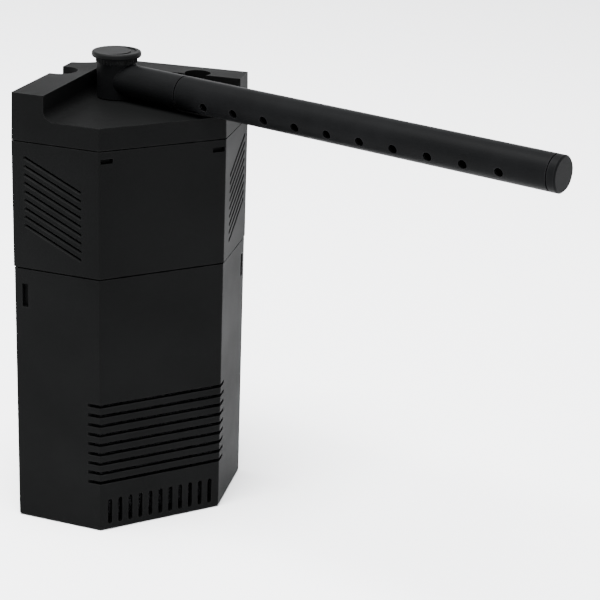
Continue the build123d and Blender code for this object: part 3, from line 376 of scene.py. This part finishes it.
coarse = foam_block("coarse_foam", "coarse_sponge", 0.0022, "canister")
# The dark colour given for each foam is the painted shade inside its cells.
dark = foam("foam_black", strut=(0.014, 0.014, 0.016), painted_cell_shade=(0.001, 0.001, 0.001), pores=620)
coarse.data.materials.append(dark)
fine = foam_block("fine_foam", "fine_sponge", 0.0018, "canister")
blue = foam("foam_blue", strut=(0.05, 0.115, 0.23), painted_cell_shade=(0.004, 0.011, 0.026), pores=1050)
fine.data.materials.append(blue)

# ---- Basket and divider: lift-out tray and the grid that lies on its ledge ----------------------
# Black polypropylene, moulded thin and with a waxier sheen than the shells. The grid lies loose
# on the ledge of the tray.
tray = moulded(
    "basket",
    colour=(0.009, 0.009, 0.0095),
    worn=(0.03, 0.03, 0.03),
    roughness=0.4,
    grain=900,
    depth=0.00002,
    specular=0.2,
)
dress(tray, "media_basket", "divider_grid")

# ---- Ceramic rings: one layer of filter media standing in the basket ----------------------------
# Extruded and fired unglazed clay: chalky, pitted with open pores painted darker as their shade,
# in patches of paler and darker cream. The rings stand loose in the basket.
ceramic, shader, place = begin("ceramic_ring")
patch = noise(place, 90.0, 3.0)
chalk = noise(place, 2400.0, 4.0)
pore = place.then("ShaderNodeTexVoronoi", {}, {"Vector": place, "Scale": 1500.0}, "Distance")
pit_and_shade = spread(pore, 0.12, 0.3, 1.0, 0.0)
clay = blend(spread(patch, 0.35, 0.65), (0.72, 0.67, 0.58, 1), (0.60, 0.53, 0.43, 1))
# The pores are mixed towards dark brown: painted shade in their hollows, on top of the bump that
# sinks them.
blend(pit_and_shade * 0.6, clay, (0.30, 0.25, 0.19, 1)).feed(shader, "Base Color")
spread(chalk, 0.3, 0.7, 0.8, 0.95).feed(shader, "Roughness")
bump(chalk * 0.4 - pit_and_shade * 0.8, 0.0003).feed(shader, "Normal")
dress(ceramic, "media_rings")

# ---- Pump plastics: volute, its cover, motor can, riser, clip and valve barrel ------------------
# Dark grey glass-filled nylon, moulded. The fibres leave faint flow streaks and a satin face.
# Three screws hold the volute, and the riser is pushed into its socket.
streaked, shader, place = begin("pump_plastic")
squeeze = (1.0, 1.0, 0.12)
flow = place.then("ShaderNodeMapping", {}, {"Vector": place, "Scale": squeeze}, "Vector")
streak = noise(flow, 900.0, 4.0)
slow = noise(place, 45.0, 2.0)
rubbed = edges(place, 0.0004) * spread(slow, 0.3, 0.6)
streaky = spread(streak, 0.35, 0.65)
body_tone = blend(streaky, (0.011, 0.0115, 0.012, 1), (0.018, 0.0185, 0.0195, 1))
blend(rubbed, body_tone, (0.045, 0.045, 0.045, 1)).feed(shader, "Base Color")
spread(streak * 0.6 + slow * 0.4, 0.3, 0.7, 0.36, 0.5).feed(shader, "Roughness")
bump(streak, 0.00003).feed(shader, "Normal")
shader.inputs["Specular IOR Level"].default_value = 0.2
dress(
    streaked, "volute", "volute_cover", "motor_housing", "riser_pipe", "swivel_clip",
    "valve_barrel",
)

# ---- Rubber: feet, O-rings, cable gland and shaft bushes ----------------------------------------
# Black nitrile, pressed in polished moulds. It has bloomed to a faint grey powder in places.
# The O-rings sit squeezed in their grooves, and the feet are washers on the pins of the pump.
rubber, shader, place = begin("rubber")
bloom = noise(place, 260.0, 4.0)
skin = noise(place, 3200.0, 2.0)
dusty = blend(spread(bloom, 0.45, 0.75), (0.006, 0.006, 0.006, 1), (0.024, 0.0235, 0.0225, 1))
dusty.feed(shader, "Base Color")
spread(bloom, 0.35, 0.7, 0.55, 0.85).feed(shader, "Roughness")
bump(skin, 0.00002).feed(shader, "Normal")
shader.inputs["Specular IOR Level"].default_value = 0.2
dress(
    rubber, "pump_feet", "cover_seal", "riser_seal", "swivel_seal", "bar_seal", "knob_seal",
    "cable_gland", "bush_lower", "bush_upper",
)

# ---- Volute screws: three pan-head screws with a cross recess -----------------------------------
# Three equal screws of turned stainless steel. The lathe leaves fine rings, and water has dulled
# the steel in spots.
steel, shader, place = begin("steel")
height = place.then("ShaderNodeSeparateXYZ", {}, {0: place}, "Z")
lathe_rings = 22000.0  # radians to the metre
climb = height * lathe_rings
ring = climb.then("ShaderNodeMath", {"operation": "SINE"}, {0: climb})
spot = noise(place, 1400.0, 3.0)
dulled = blend(spread(spot, 0.4, 0.7), (0.62, 0.61, 0.59, 1), (0.42, 0.40, 0.37, 1))
dulled.feed(shader, "Base Color")
spread(spot, 0.3, 0.7, 0.22, 0.42).feed(shader, "Roughness")
bump(ring * 0.5 + 0.5, 0.00001).feed(shader, "Normal")
shader.inputs["Metallic"].default_value = 1.0
dress(steel, "volute_screws")

# ---- Stator core: a stack of stamped laminations ------------------------------------------------
# Half-millimetre silicon steel sheets, punched and pressed together, their edges faintly blued.
# The stack is cast into the motor can together with its coil.
core, shader, place = begin("core")
across = place.then("ShaderNodeSeparateXYZ", {}, {0: place}, "Y")
sheets = 2000.0  # laminations to the metre
count = across * sheets
sheet = count.then("ShaderNodeMath", {"operation": "FRACT"}, {0: count})
gap = spread(sheet, 0.0, 0.14, 1.0, 0.0)
blue = noise(place, 300.0, 3.0)
metal = blend(spread(blue, 0.35, 0.7), (0.27, 0.27, 0.28, 1), (0.16, 0.17, 0.21, 1))
blend(gap, metal, (0.03, 0.03, 0.03, 1)).feed(shader, "Base Color")
spread(blue, 0.3, 0.7, 0.38, 0.55).feed(shader, "Roughness")
bump(1.0 - gap, 0.00008).feed(shader, "Normal")
shader.inputs["Metallic"].default_value = 1.0
dress(core, "stator_core")

# ---- Coil: nylon bobbin, copper winding and the resin cast round them ---------------------------
# The bobbin is natural nylon. The wire is 0.35 mm enamelled copper, wound in level turns, with
# painted shade darkening the creases between them.
# The resin is poured black epoxy, glossy, with a few trapped bubbles under its face.
nylon = moulded(
    "bobbin",
    colour=(0.74, 0.72, 0.64),
    worn=(0.85, 0.84, 0.78),
    roughness=0.45,
    grain=1200,
    depth=0.00002,
    specular=0.5,
)
dress(nylon, "coil_bobbin")

copper, shader, place = begin("copper")
along = place.then("ShaderNodeSeparateXYZ", {}, {0: place}, "X")
wobble = noise(place, 120.0, 2.0)
wires = 2857.0  # turns to the metre, side by side
turns = (along * wires + wobble * 0.8) * tau
wave = turns.then("ShaderNodeMath", {"operation": "SINE"}, {0: turns})
wire_relief_and_shade = wave * 0.5 + 0.5
# Across each turn the colour runs from copper on its crown to dark brown in the crease: painted
# shade, besides the bump.
blend(wire_relief_and_shade, (0.16, 0.045, 0.018, 1), (0.78, 0.33, 0.14, 1)).feed(shader, "Base Color")
spread(wobble, 0.3, 0.7, 0.24, 0.36).feed(shader, "Roughness")
bump(wire_relief_and_shade, 0.00018).feed(shader, "Normal")
shader.inputs["Metallic"].default_value = 0.85
shader.inputs["Coat Weight"].default_value = 0.5
dress(copper, "coil_winding")

resin, shader, place = begin("resin")
pool = noise(place, 60.0, 2.0)
bubble = place.then("ShaderNodeTexVoronoi", {}, {"Vector": place, "Scale": 420.0}, "Distance")
dimple = spread(bubble, 0.08, 0.14, 1.0, 0.0)
poured = blend(spread(pool, 0.3, 0.7), (0.010, 0.010, 0.011, 1), (0.022, 0.021, 0.020, 1))
poured.feed(shader, "Base Color")
spread(pool, 0.3, 0.7, 0.12, 0.24).feed(shader, "Roughness")
bump(pool * 0.5 - dimple * 0.3, 0.0004).feed(shader, "Normal")
dress(resin, "potting_resin")

# ---- Rotor: ferrite magnet, moulded impeller and ceramic shaft ----------------------------------
# The magnet is sintered ferrite, ground round its outside. The impeller is off-white acetal.
# The shaft is polished white alumina.
ferrite, shader, place = begin("magnet")
powder = noise(place, 2600.0, 5.0)
smear = noise(place, 70.0, 2.0)
ground = blend(spread(powder, 0.35, 0.68), (0.035, 0.035, 0.037, 1), (0.085, 0.083, 0.08, 1))
ground.feed(shader, "Base Color")
spread(smear, 0.3, 0.7, 0.45, 0.68).feed(shader, "Roughness")
bump(powder, 0.00004).feed(shader, "Normal")
shader.inputs["Metallic"].default_value = 0.35
dress(ferrite, "rotor_magnet")

acetal = moulded(
    "impeller",
    colour=(0.70, 0.71, 0.68),
    worn=(0.82, 0.82, 0.80),
    roughness=0.34,
    grain=1600,
    depth=0.00001,
    specular=0.5,
)
dress(acetal, "impeller")

alumina, shader, place = begin("ceramic_shaft")
haze = noise(place, 200.0, 3.0)
lap = noise(place, 5200.0, 1.0)
fired = blend(spread(haze, 0.35, 0.65), (0.88, 0.87, 0.83, 1), (0.80, 0.79, 0.75, 1))
fired.feed(shader, "Base Color")
spread(haze, 0.3, 0.7, 0.1, 0.2).feed(shader, "Roughness")
bump(lap, 0.000004).feed(shader, "Normal")
dress(alumina, "rotor_shaft")
